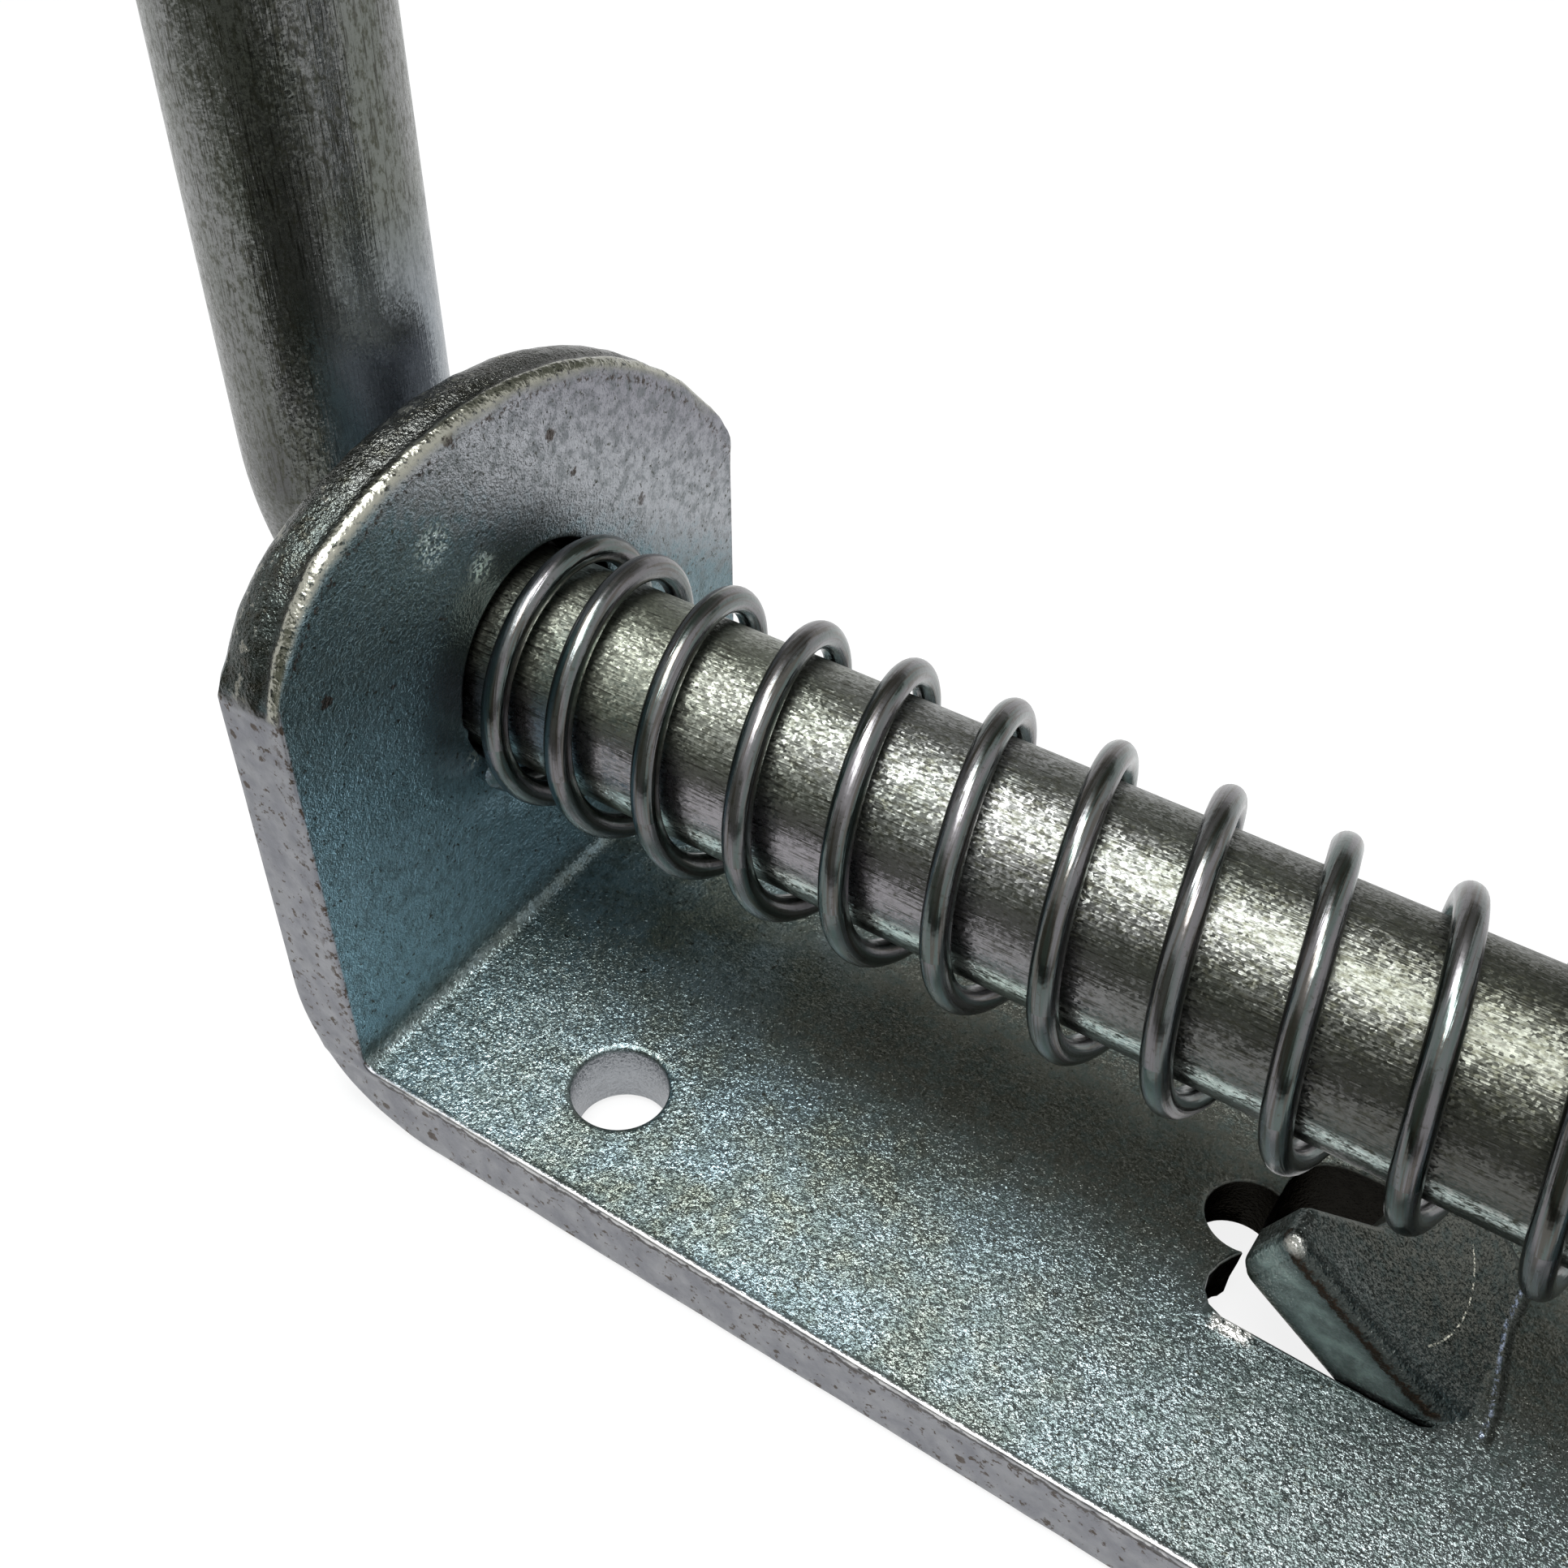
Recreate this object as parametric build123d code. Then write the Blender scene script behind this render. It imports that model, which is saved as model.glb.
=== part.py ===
from build123d import *
import math
import os

# A spring bolt: a round bar with a bent handle slides in the two ears of a folded
# steel strap, and a compression spring round the bar pushes it out past the far ear.
#
# Frame, in millimetres: X runs along the bar from the handle to the bolt's free end,
# Y across the strap and +Z away from the surface that the strap is screwed to. The
# origin is on that surface, in the middle of the four screw holes and under the bar's
# axis. The strap's front side is the one at -Y.

# Strap
strap_width = 50.0
strap_thickness = 6.0
outer_bend_radius = 12.0
inner_bend_radius = 1.2

# Bar and handle
bar_radius = 8.0
handle_inner_bend = 6.4
handle_bend_inset = 3.3
handle_height = 75.0
handle_chamfer = 1.2
bolt_reach = 36.0
tip_chamfer = 2.0

# Spring
wire_radius = 1.0
coil_clearance = 0.5
active_pitch = 7.6
active_turns = 10
easing_pitch = 6.25
closed_pitch = 2.75
wire_end_angle = 216.0
seat_gap = 0.1

# Washer and cross pin
washer_clearance = 0.4
washer_rim = 0.5
washer_thickness = 2.0
pin_radius = 2.5
pin_overhang = 7.0
pin_chamfer = 0.5
pin_gap = 0.3
pin_to_ear = 10.5

# Tongue that is lanced out of the strap and bent up under the bar
tongue_from_ear = 78.4
tongue_width = 16.0
tongue_length = 18.0
tongue_angle = 39.5
tongue_bend_radius = 1.0
tongue_to_spring = 1.35
prong_width = 2.5
prong_corner_radius = 1.5
notch_slant_length = 5.2
notch_slant_width = 4.0
notch_bow = 0.7
notch_depth = 8.0

# Slot that the tongue leaves, with the lobe at its end
slot_length = 16.9
slot_side_gap = 0.3
slot_corner_radius = 1.0
lobe_radius = 3.05
lobe_overhang = 0.8
lobe_offset = 0.4

# Ears: a dome that sits a little off centre, with a tighter curve at its front corner
bore_clearance = 0.9
bore_mouth_chamfer = 0.6
dome_offset = -4.0
dome_past_side = 4.5
dome_centre_drop = 10.0
front_curve_width = 7.0
front_corner_drop = 3.5
outer_edge_radius = 2.4
inner_edge_radius = 1.2

# Screw holes
screw_hole_radius = 3.7
screw_hole_mouth = 0.4
screw_hole_from_ear = 17.3
screw_hole_from_edge = 9.5

# Places that follow from the sizes above
half_width = strap_width / 2
coil_radius = bar_radius + coil_clearance + wire_radius
coil_outer_radius = coil_radius + wire_radius
tongue_slope = math.radians(tongue_angle)
tongue_top = strap_thickness + tongue_length * math.sin(tongue_slope)
bar_height = tongue_top + tongue_to_spring + coil_outer_radius
wound_length = 2 * (closed_pitch + easing_pitch) + active_turns * active_pitch
spring_length = wound_length + 2 * wire_radius
washer_from_ear = spring_length + 2 * seat_gap
pin_from_ear = washer_from_ear + washer_thickness + pin_gap + pin_radius
ear_span = pin_from_ear + pin_radius + pin_to_ear
near_ear = -ear_span / 2
far_ear = ear_span / 2
tongue_crease = near_ear + tongue_from_ear
washer_radius = coil_outer_radius + washer_rim
pin_length = 2 * (washer_radius + pin_overhang)
dome_radius = half_width - dome_offset + dome_past_side
dome_centre_height = bar_height - dome_centre_drop
dome_top = dome_centre_height + dome_radius
handle_bend_radius = bar_radius + handle_inner_bend
handle_place = near_ear - strap_thickness + handle_bend_inset - handle_bend_radius


def folded_strap():
    """The strap with both its ends folded up, as high as the bar's axis."""
    with BuildSketch(Plane.XZ) as block:
        with Locations((0, bar_height / 2)):
            Rectangle(ear_span + 2 * strap_thickness, bar_height)
        fillet(block.vertices().group_by(Axis.Y)[0], outer_bend_radius)
    with BuildSketch(Plane.XZ) as inside:
        with Locations((0, strap_thickness + bar_height / 2)):
            Rectangle(ear_span, bar_height)
        fillet(inside.vertices().group_by(Axis.Y)[0], inner_bend_radius)
    return extrude(block.sketch - inside.sketch, amount=half_width, both=True)


def dome_height(across):
    """Height of the dome's edge at a place across the strap."""
    return dome_centre_height + math.sqrt(dome_radius**2 - (across - dome_offset) ** 2)


def ear():
    """The ear at the handle's end, from the strap's bend up to its rounded dome."""
    past_side = dome_past_side / 2
    curve_start = front_curve_width - half_width
    front_corner = (-half_width, dome_height(-half_width) - front_corner_drop)
    back_end = (half_width + past_side, dome_height(half_width + past_side))
    with BuildSketch(Plane.YZ.offset(near_ear - strap_thickness)) as outline:
        with BuildLine():
            dome = ThreePointArc(
                back_end, (dome_offset, dome_top), (curve_start, dome_height(curve_start))
            )
            curve = TangentArc(dome @ 1, front_corner, tangent=dome % 1)
            slope = curve % 1
            front_end = (curve @ 1) - slope * (past_side / slope.X)
            Polyline(
                curve @ 1,
                front_end,
                (-half_width - past_side, outer_bend_radius),
                (half_width + past_side, outer_bend_radius),
                back_end,
            )
        make_face()
    blank = extrude(outline.sketch, amount=strap_thickness)
    outer_rim = blank.edges().filter_by(GeomType.CIRCLE).group_by(Axis.X)[0]
    blank = fillet(outer_rim, outer_edge_radius)
    inner_rim = blank.faces().sort_by(Axis.X)[-1].edges().filter_by(GeomType.CIRCLE)
    blank = fillet(inner_rim, inner_edge_radius)
    return blank & Box(2 * ear_span, strap_width, 2 * dome_top)


def bore():
    """The bore of the ear at the handle's end, with its chamfered outer mouth."""
    radius = bar_radius + bore_clearance
    hole = Cylinder(radius, 2 * strap_thickness)
    mouth = Pos(0, 0, (bore_mouth_chamfer - strap_thickness) / 2) * Cone(
        radius + bore_mouth_chamfer, radius, bore_mouth_chamfer
    )
    return Pos(near_ear - strap_thickness / 2, 0, bar_height) * Rot(0, 90, 0) * (hole + mouth)


def screw_hole():
    """A screw hole with a broken edge at the top of the strap."""
    hole = Cylinder(screw_hole_radius, 3 * strap_thickness)
    mouth = Pos(0, 0, strap_thickness - screw_hole_mouth / 2) * Cone(
        screw_hole_radius, screw_hole_radius + screw_hole_mouth, screw_hole_mouth
    )
    return hole + mouth


def slot():
    """The slot that the tongue leaves in the strap, with the lobe at its end."""
    end = tongue_crease - slot_length
    length = slot_length + tongue_bend_radius
    with BuildSketch() as outline:
        with Locations((end + length / 2, 0)):
            Rectangle(length, tongue_width + 2 * slot_side_gap)
        fillet(outline.vertices().group_by(Axis.X)[0], slot_corner_radius)
        with Locations((end - lobe_overhang, lobe_offset)):
            Circle(lobe_radius)
    return extrude(outline.sketch, amount=strap_thickness)


def tongue():
    """The tongue, bent up at the slot's far end, with its notched free end."""
    root = tongue_crease + tongue_bend_radius
    # The top of the bent tongue: X towards its free end and Y towards the strap's front
    top = Plane(
        origin=(tongue_crease, 0, strap_thickness),
        x_dir=(-math.cos(tongue_slope), 0, math.sin(tongue_slope)),
        z_dir=(math.sin(tongue_slope), 0, math.cos(tongue_slope)),
    )
    free_end = top.from_local_coords((tongue_length, 0, 0))
    under_end = top.from_local_coords((tongue_length, 0, -strap_thickness))
    crease = (tongue_crease, strap_thickness)
    under_crease = (tongue_crease - strap_thickness * math.tan(tongue_slope / 2), 0)
    with BuildSketch(Plane.XZ) as section:
        with BuildLine():
            Polyline(
                (root, 0),
                (root, strap_thickness),
                crease,
                (free_end.X, free_end.Z),
                (under_end.X, under_end.Z),
                under_crease,
                close=True,
            )
        make_face()
        fillet(section.vertices().sort_by_distance(crease)[0], tongue_bend_radius)
        fillet(
            section.vertices().sort_by_distance(under_crease)[0],
            tongue_bend_radius + strap_thickness,
        )
    bent = extrude(section.sketch, amount=tongue_width / 2, both=True)

    side = tongue_width / 2
    prong_inside = side - prong_width
    notch_side = tongue_length - notch_slant_length
    notch_knee = (notch_side, prong_inside - notch_slant_width)
    notch_end = (tongue_length - notch_depth, -side)
    notch_middle = (
        (notch_knee[0] + notch_end[0]) / 2 - notch_bow,
        (notch_knee[1] + notch_end[1]) / 2,
    )
    with BuildSketch(top) as outline:
        with BuildLine():
            Polyline(
                (-2 * strap_thickness, -side),
                (-2 * strap_thickness, side),
                (tongue_length, side),
                (tongue_length, prong_inside),
                notch_knee,
            )
            ThreePointArc(notch_knee, notch_middle, notch_end)
            Line(notch_end, (-2 * strap_thickness, -side))
        make_face()
        fillet(outline.vertices().sort_by_distance((tongue_length, side))[0], prong_corner_radius)
    return bent & extrude(outline.sketch, amount=2 * strap_thickness, both=True)


def make_bracket():
    """The folded strap with all that is cropped, punched and lanced in it."""
    bracket = folded_strap() + ear() + mirror(ear(), about=Plane.YZ)
    bracket = bracket - bore() - mirror(bore(), about=Plane.YZ)
    along = ear_span - 2 * screw_hole_from_ear
    across = strap_width - 2 * screw_hole_from_edge
    for place in GridLocations(along, across, 2, 2):
        bracket = bracket - place * screw_hole()
    return bracket - slot() + tongue()


def make_bolt():
    """The bar with its bent handle and the hole for the cross pin."""
    tip = (far_ear + strap_thickness + bolt_reach, 0, bar_height)
    corner = (handle_place, 0, bar_height)
    handle_end = (handle_place, 0, bar_height + handle_height)
    path = FilletPolyline(tip, corner, handle_end, radius=handle_bend_radius)
    bar = sweep(Plane(origin=tip, z_dir=(-1, 0, 0)) * Circle(bar_radius), path=path)
    bar = chamfer(bar.edges().group_by(Axis.X)[-1], tip_chamfer)
    bar = chamfer(bar.edges().group_by(Axis.Z)[-1], handle_chamfer)
    pin_hole = Rot(90, 0, 0) * Cylinder(pin_radius, 4 * bar_radius)
    return bar - Pos(near_ear + pin_from_ear, 0, bar_height) * pin_hole


def make_spring():
    """The wire, with a closed turn and an easing turn at each end of the active ones."""
    stretches = [
        (closed_pitch, 1),
        (easing_pitch, 1),
        (active_pitch, active_turns),
        (easing_pitch, 1),
        (closed_pitch, 1),
    ]
    pieces = []
    wound = 0.0
    for pitch, turns in stretches:
        start = Plane(origin=(coil_radius, 0, wound), z_dir=(0, 1, 0))
        path = Pos(0, 0, wound) * Helix(pitch, pitch * turns, coil_radius)
        pieces.append(sweep(start * Circle(wire_radius), path=path, is_frenet=True))
        wound += pitch * turns
    wire = pieces[0].fuse(*pieces[1:])
    along_bar = Rot(wire_end_angle + 90, 0, 0) * Rot(0, 90, 0)
    return Pos(near_ear + seat_gap + wire_radius, 0, bar_height) * along_bar * wire


def make_washer():
    """The ring that takes the far end of the spring."""
    ring = Cylinder(washer_radius, washer_thickness)
    ring = ring - Cylinder(bar_radius + washer_clearance, 2 * washer_thickness)
    middle = near_ear + washer_from_ear + washer_thickness / 2
    return Pos(middle, 0, bar_height) * Rot(0, 90, 0) * ring


def make_cross_pin():
    """The pin through the bar that the washer pushes on."""
    pin = Cylinder(pin_radius, pin_length)
    pin = chamfer(pin.edges().group_by(Axis.Z)[0], pin_chamfer)
    pin = chamfer(pin.edges().group_by(Axis.Z)[-1], pin_chamfer)
    return Pos(near_ear + pin_from_ear, 0, bar_height) * Rot(90, 0, 0) * pin


os.makedirs("parts", exist_ok=True)
export_step(make_bracket(), "parts/bracket.step")
export_step(make_bolt(), "parts/bolt.step")
export_step(make_spring(), "parts/spring.step")
export_step(make_washer(), "parts/washer.step")
export_step(make_cross_pin(), "parts/cross_pin.step")
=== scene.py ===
import bpy
import bmesh
import math
from mathutils import Matrix, Vector, noise


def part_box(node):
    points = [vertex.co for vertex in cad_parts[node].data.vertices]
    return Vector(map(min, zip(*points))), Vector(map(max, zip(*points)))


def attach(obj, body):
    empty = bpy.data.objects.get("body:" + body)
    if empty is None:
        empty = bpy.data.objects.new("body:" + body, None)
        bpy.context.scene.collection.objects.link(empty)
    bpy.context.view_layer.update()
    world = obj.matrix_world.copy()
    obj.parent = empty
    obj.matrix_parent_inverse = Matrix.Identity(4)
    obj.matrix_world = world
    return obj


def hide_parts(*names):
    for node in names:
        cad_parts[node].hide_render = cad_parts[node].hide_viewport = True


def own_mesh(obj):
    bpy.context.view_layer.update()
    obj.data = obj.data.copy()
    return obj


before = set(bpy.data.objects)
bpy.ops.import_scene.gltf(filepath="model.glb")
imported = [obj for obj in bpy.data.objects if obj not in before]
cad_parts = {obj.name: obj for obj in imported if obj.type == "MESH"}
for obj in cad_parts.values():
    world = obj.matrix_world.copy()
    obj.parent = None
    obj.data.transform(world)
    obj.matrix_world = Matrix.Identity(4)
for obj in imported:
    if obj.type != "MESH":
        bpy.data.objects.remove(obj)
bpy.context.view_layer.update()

# Lengths are in millimetres in the part's frame, and each mesh is scaled to metres when it is made.
MM = 0.001


def node_box(name):
    """The lowest and highest corner of a CAD node, in millimetres."""
    low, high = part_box(name)
    return Vector(low) / MM, Vector(high) / MM


# Strap
strap_low, strap_high = node_box("bracket")
half_width = strap_high.y
thickness = 6.0
outer_bend = 12.0
inner_bend = 1.2
near_outside = strap_low.x
near_ear = near_outside + thickness
dome_offset = -4.0
dome_radius = half_width - dome_offset + 4.5
dome_centre = strap_high.z - dome_radius
front_curve_width = 7.0
front_corner_drop = 3.5
corner_round = 1.8
dome_inner_round = 1.25
dome_outer_round = 2.6

# Bar, handle and cross pin
bar_low, bar_high = node_box("bolt")
bar_radius = bar_high.y
bar_height = bar_low.z + bar_radius
handle_place = bar_low.x + bar_radius
handle_bend = bar_radius + 6.4
bore_radius = bar_radius + 0.85
bore_y, bore_z = 0.35, bar_height + 0.3
pin_low, pin_high = node_box("cross_pin")
pin_place = (pin_low.x + pin_high.x) / 2
pin_radius = (pin_high.x - pin_low.x) / 2
washer_low, washer_high = node_box("washer")

# Spring: the pitch of each turn from the wire's cut end, mirrored at the far end
spring_low, spring_high = node_box("spring")
wire_radius = 1.0
coil_radius = bar_radius + 0.5 + wire_radius
closed_pitch = 2.75
easing_pitch = 6.25
active_pitch = 7.6
active_turns = 10
all_turns = active_turns + 4
wire_end_angle = 216.0

# Tongue and slot
crease = near_ear + 78.4
tongue_side = 8.0
tongue_angle = math.radians(39.5)
tongue_length = 17.5
crease_radius = 0.9
slot_end = crease - 16.9
slot_side = tongue_side + 0.3
lobe_radius = 3.05
lobe_offset = 0.4

# Dents beside the bores: place across, height and size
ear_dents = [(-9.5, 45.2, 1.5), (-5.2, 40.9, 1.2), (-8.3, 25.0, 0.8), (-6.4, 22.9, 0.8)]

# Screw holes
screw_radius = 3.7
screw_x = -near_ear - 17.3
screw_y = half_width - 9.5

# Turns that lay an upright axis along X and along Y
along_x = Matrix.Rotation(math.radians(90), 3, "Y")
along_y = Matrix.Rotation(math.radians(90), 3, "X")

# Stations along the strap: down an ear, round its fold and along to the middle
ear_run = strap_high.z - outer_bend
fold_run = 16.0
flat_start = near_outside + outer_bend
half_run = ear_run + fold_run - flat_start


def between(start, end, step):
    """Evenly spaced stations from start to end, about a step apart."""
    count = max(1, round(abs(end - start) / step))
    return [start + (end - start) * i / count for i in range(count + 1)]


def stations(*spans):
    """Joins spans of stations, each (start, end, step), into one rising list."""
    joined = [spans[0][0]]
    for start, end, step in spans:
        joined += between(start, end, step)[1:]
    return joined


def mirrored(profile):
    """A profile of (height, radius), joined to its mirror image."""
    return profile + [(-height, radius) for height, radius in reversed(profile)]


def bell(value, width):
    """One where a value is nought, fading away over a width to both sides."""
    return math.exp(-(value / width) ** 2)


def lumps(x, y, z, size):
    """Smooth random height, about -1 to 1, over lumps of about the given size."""
    return noise.noise(Vector((x, y, z)) / size)


def new_object(name, data):
    """An object that shows its data in the scene."""
    thing = bpy.data.objects.new(name, data)
    bpy.context.scene.collection.objects.link(thing)
    return thing


def mesh_object(name, points, faces):
    """An object with a new mesh, from points in metres."""
    mesh = bpy.data.meshes.new(name)
    mesh.from_pydata(points, [], faces)
    return new_object(name, mesh)


def make_piece(name, points, faces, body=None, node=None):
    """A piece from points in millimetres, finished at once if it rides on a body as it is."""
    piece = mesh_object(name, [Vector(p) * MM for p in points], faces)
    work = bmesh.new()
    work.from_mesh(piece.data)
    bmesh.ops.recalc_face_normals(work, faces=work.faces)
    work.to_mesh(piece.data)
    work.free()
    if body:
        finish_piece(piece, body, node, 40.0)
    return piece


def finish_piece(piece, body, node, sharp):
    """Smooth shading with sharp edges over an angle, and the piece's place in the frame."""
    piece.data.shade_smooth()
    piece.data.set_sharp_from_angle(angle=math.radians(sharp))
    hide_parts(node)
    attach(piece, body)


def cut(piece, cutters):
    """Cuts the cutters out of a piece and removes them."""
    for cutter in cutters:
        modifier = piece.modifiers.new("cut", "BOOLEAN")
        modifier.operation = "DIFFERENCE"
        modifier.solver = "EXACT"
        modifier.object = cutter
    bpy.context.view_layer.update()
    shape = piece.evaluated_get(bpy.context.evaluated_depsgraph_get())
    mesh = bpy.data.meshes.new_from_object(shape)
    piece.modifiers.clear()
    piece.data = mesh
    for cutter in cutters:
        bpy.data.objects.remove(cutter)


def grid_shell(us, ys, ds, place):
    """The closed outside of a block of stations, where place gives each corner's point."""
    index = {}
    points = []
    faces = []

    def corner(i, j, k):
        if (i, j, k) not in index:
            index[i, j, k] = len(points)
            points.append(place(us[i], ys[j], ds[k]))
        return index[i, j, k]

    def add_face(*square):
        """Adds a face from four corners, each given by its stations' places."""
        faces.append([corner(*spot) for spot in square])

    last_u, last_y, last_d = len(us) - 1, len(ys) - 1, len(ds) - 1
    for i in range(last_u):
        for j in range(last_y):
            for k in (0, last_d):
                add_face((i, j, k), (i, j + 1, k), (i + 1, j + 1, k), (i + 1, j, k))
        for k in range(last_d):
            for j in (0, last_y):
                add_face((i, j, k), (i, j, k + 1), (i + 1, j, k + 1), (i + 1, j, k))
    for j in range(last_y):
        for k in range(last_d):
            for i in (0, last_u):
                add_face((i, j, k), (i, j + 1, k), (i, j + 1, k + 1), (i, j, k + 1))
    return points, faces


def ring_faces(rings, count):
    """The faces of a closed tube whose points come ring by ring."""
    faces = []
    for ring in range(rings - 1):
        a, b = ring * count, (ring + 1) * count
        for i in range(count):
            j = (i + 1) % count
            faces.append([a + i, a + j, b + j, b + i])
    faces.append(list(range(count)))
    faces.append([(rings - 1) * count + i for i in range(count)])
    return faces


def lathe(profile, sides, turn=Matrix.Identity(3), place=(0, 0, 0)):
    """A closed solid from a profile of (height, radius) turned about an axis, Z unless turned."""
    points = []
    for height, radius in profile:
        for i in range(sides):
            angle = 2 * math.pi * i / sides
            spot = Vector((radius * math.cos(angle), radius * math.sin(angle), height))
            points.append(turn @ spot + Vector(place))
    return points, ring_faces(len(profile), sides)


def tube(rings, sides):
    """A closed tube of rings, each given as (centre, direction, level, radius)."""
    points = []
    for centre, direction, level, radius in rings:
        across = direction.cross(level).normalized()
        for i in range(sides):
            angle = 2 * math.pi * i / sides
            points.append(centre + radius * (math.cos(angle) * across + math.sin(angle) * level))
    return points, ring_faces(len(rings), sides)


def rounded(p, q, radius):
    """Bends the corner between two faces round, for a point p and q inside those faces."""
    if p >= radius or q >= radius:
        return p, q
    a, b = radius - p, radius - q
    squeeze = max(a, b) / math.hypot(a, b)
    return radius - a * squeeze, radius - b * squeeze


def dome_height(y):
    """Height of the ear's edge at a place across the strap."""
    height = dome_centre + math.sqrt(dome_radius**2 - (y - dome_offset) ** 2)
    past = max(0.0, (front_curve_width - half_width) - y) / front_curve_width
    return height - front_corner_drop * past**2.2


def fold_points(share):
    """The points of the fold's inside and outside at a share of the way round it."""
    leg = outer_bend - thickness - inner_bend
    straight = 0.36
    if share < straight:
        inside = (near_ear, outer_bend - leg * share / straight)
    elif share > 1 - straight:
        inside = (flat_start - leg * (1 - share) / straight, thickness)
    else:
        turn = math.pi / 2 * (share - straight) / (1 - 2 * straight)
        inside = (near_ear + inner_bend * (1 - math.cos(turn)),
                  thickness + inner_bend * (1 - math.sin(turn)))
    turn = math.pi / 2 * share
    outside = (flat_start - outer_bend * math.cos(turn), outer_bend - outer_bend * math.sin(turn))
    return inside, outside


def strap_point(u, y, d):
    """A point of the folded strap: u from the near ear's edge, y across, d deep from the inside."""
    mirror = -1 if u > half_run else 1
    u = min(u, 2 * half_run - u)
    side = half_width - abs(y)
    corner_share = min(1.0, side / 5)
    side, u = rounded(side, u, corner_round)
    if d < thickness / 2:
        u, d = rounded(u, d, dome_inner_round * (0.5 + 0.5 * corner_share))
        side, d = rounded(side, d, 0.22)
    else:
        u, under = rounded(u, thickness - d, dome_outer_round)
        side, under = rounded(side, under, 0.4)
        d = thickness - under
    y = math.copysign(half_width - side, y)

    # The stations follow the domed edge closely at first and are level by the fold
    edge_band = 4.0
    if u < ear_run:
        top = dome_height(y)
        kept = min(u, edge_band)
        levelled = (u - kept) * (top - outer_bend - edge_band) / (ear_run - edge_band)
        height = top - kept - levelled
        inside, outside = (near_ear, height), (near_outside, height)
    elif u < ear_run + fold_run:
        inside, outside = fold_points((u - ear_run) / fold_run)
    else:
        x = flat_start + u - ear_run - fold_run
        inside, outside = (x, thickness), (x, 0.0)
    share = d / thickness
    x = inside[0] + (outside[0] - inside[0]) * share
    z = inside[1] + (outside[1] - inside[1]) * share
    return mirror * x, y, z


def strap_shell():
    """The folded strap without its holes, with closer stations where it is rounded."""
    rim = 0.6
    dome_edge = 3.2
    bend_start, bend_end = ear_run + 5.6, ear_run + 10.4
    half = stations((0.0, rim, 0.15), (rim, dome_edge, 0.3), (dome_edge, ear_run, 0.8),
                    (ear_run, bend_start, 0.8), (bend_start, bend_end, 0.3),
                    (bend_end, ear_run + fold_run, 0.8), (ear_run + fold_run, half_run, 0.8))
    us = half + [2 * half_run - u for u in reversed(half[:-1])]
    edge = half_width
    ys = stations((-edge, rim - edge, 0.12), (rim - edge, front_curve_width - edge, 0.35),
                  (front_curve_width - edge, edge - 3, 0.75), (edge - 3, edge - rim, 0.35),
                  (edge - rim, edge, 0.12))
    ds = stations((0.0, 1.5, 0.15), (1.5, 3.3, 0.45), (3.3, thickness, 0.3))
    return grid_shell(us, ys, ds, strap_point)


def slot_outline(flare, lean, hang):
    """The slot's outline, moved out by a flare, at its near end by a lean, in behind by a hang."""
    side = slot_side + flare
    back = side - hang
    end = slot_end - flare - lean
    far = crease - 1.6 + flare
    radius = lobe_radius + flare
    centre = slot_end - 0.8 - lean
    mouth = math.acos((end - centre) / radius)
    back_mouth = math.radians(70)
    outline = [(far - 1, -side), (far - 0.3, 0.35 - side), (far, 1.0 - side),
               (far, side - 1.0), (far - 0.3, side - 0.35), (far - 1, side)]
    lobe = []
    for i in range(33):
        turn = back_mouth + (2 * math.pi - mouth - back_mouth) * i / 32
        lobe.append((centre + radius * math.cos(turn), lobe_offset + radius * math.sin(turn)))
    start = Vector((end + 4.8, back))
    corner = Vector((end + 1.6 * hang, back))
    for i in range(12):
        share = i / 12
        leaving = start.lerp(corner, share)
        arriving = corner.lerp(Vector(lobe[0]), share)
        outline.append(tuple(leaving.lerp(arriving, share)))
    torn_end = [(-0.45, -3.3), (-0.9, -4.3), (-1.15, -5.5), (-0.9, -6.7), (-0.2, -7.7), (0.9, -side)]
    return outline + lobe + [(end + inset, y) for inset, y in torn_end]


def slot_cutter():
    """The block that cuts the slot: each level's height, flare, lean and hang."""
    levels = [(-1.0, 0.3, 0.5, 0.9), (0.05, 0.25, 0.5, 0.9), (0.4, 0.0, 0.5, 0.9), (2.4, 0.0, 0.4, 0.7),
              (4.2, 0.0, 0.15, 0.3), (5.6, 0.0, 0.0, 0.0), (5.9, 0.07, 0.0, 0.0), (6.0, 0.22, 0.0, 0.0),
              (7.0, 0.5, 0.0, 0.0)]
    points = []
    for height, flare, lean, hang in levels:
        outline = slot_outline(flare, lean, hang)
        points += [(x, y, height) for x, y in outline]
    return make_piece("cutter", points, ring_faces(len(levels), len(outline)))


def bore_cutters():
    """The stepped bore through both ears: tight outside, wider and a little off its axis inside."""
    tight = bar_radius + 0.3
    half_bore = [(near_outside - 2, tight + 0.6), (near_outside, tight + 0.6),
                 (near_outside + 0.6, tight), (near_ear + 1, tight)]
    half_step = [(near_ear - 3.5, bore_radius), (near_ear - 0.5, bore_radius),
                 (near_ear - 0.15, bore_radius + 0.12), (near_ear, bore_radius + 0.4),
                 (near_ear + 1, bore_radius + 0.6)]
    cutters = []
    for half_profile, place in [(half_bore, (0, 0, bar_height)), (half_step, (0, bore_y, bore_z))]:
        cutters.append(make_piece("cutter", *lathe(mirrored(half_profile), 96, along_x, place)))
    return cutters


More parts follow.
